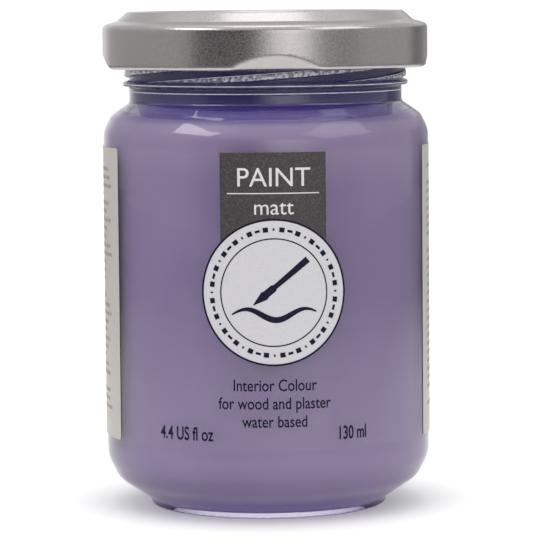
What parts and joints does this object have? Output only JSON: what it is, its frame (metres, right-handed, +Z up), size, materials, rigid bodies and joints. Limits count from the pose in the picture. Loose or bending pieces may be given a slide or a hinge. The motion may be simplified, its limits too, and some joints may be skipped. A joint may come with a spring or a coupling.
{
  "type": "paint jar",
  "caption": "Small straight-sided glass jar filled with lilac paint, with a twist-off metal lid, a clear front label and a white back label.",
  "frame": {"origin": "centre of the jar's foot, on the surface that it stands on", "axes": "+Z up along the jar's axis; the front label faces -Y"},
  "size_m": [0.0562, 0.0562, 0.0845],
  "materials": {
    "clear_glass": "clear soda-lime container glass",
    "lilac_paint": "wet lilac paint seen through glass",
    "clear_film": "clear label film",
    "panel_ink": "dark grey-brown printed ink",
    "disc_ink": "off-white printed ink",
    "white_label": "satin white label film",
    "sealing_compound": "off-white cast sealing compound",
    "satin_tinplate": "satin silver lacquered tinplate"
  },
  "bodies": {
    "jar": {"glass_jar": "clear_glass", "paint_fill": "lilac_paint", "front_label": "clear_film", "label_panel": "panel_ink", "label_disc": "disc_ink", "back_label": "white_label"},
    "seal": {"lid_gasket": "sealing_compound"},
    "lid": {"lid_shell": "satin_tinplate"}
  },
  "joints": [
    {"name": "lid_lift", "type": "slide", "parent": "jar", "child": "seal", "axis": [0, 0, 1], "range_m": [0, 0.0201]},
    {"name": "lid_twist", "type": "hinge", "parent": "seal", "child": "lid", "pos_m": [0, 0, 0.0798], "axis": [0, 0, 1], "range_deg": [0, 720]}
  ],
  "couplings": [
    {"joint": "lid_lift", "follows": "lid_twist", "m_per_rad": 0.0015915}
  ]
}
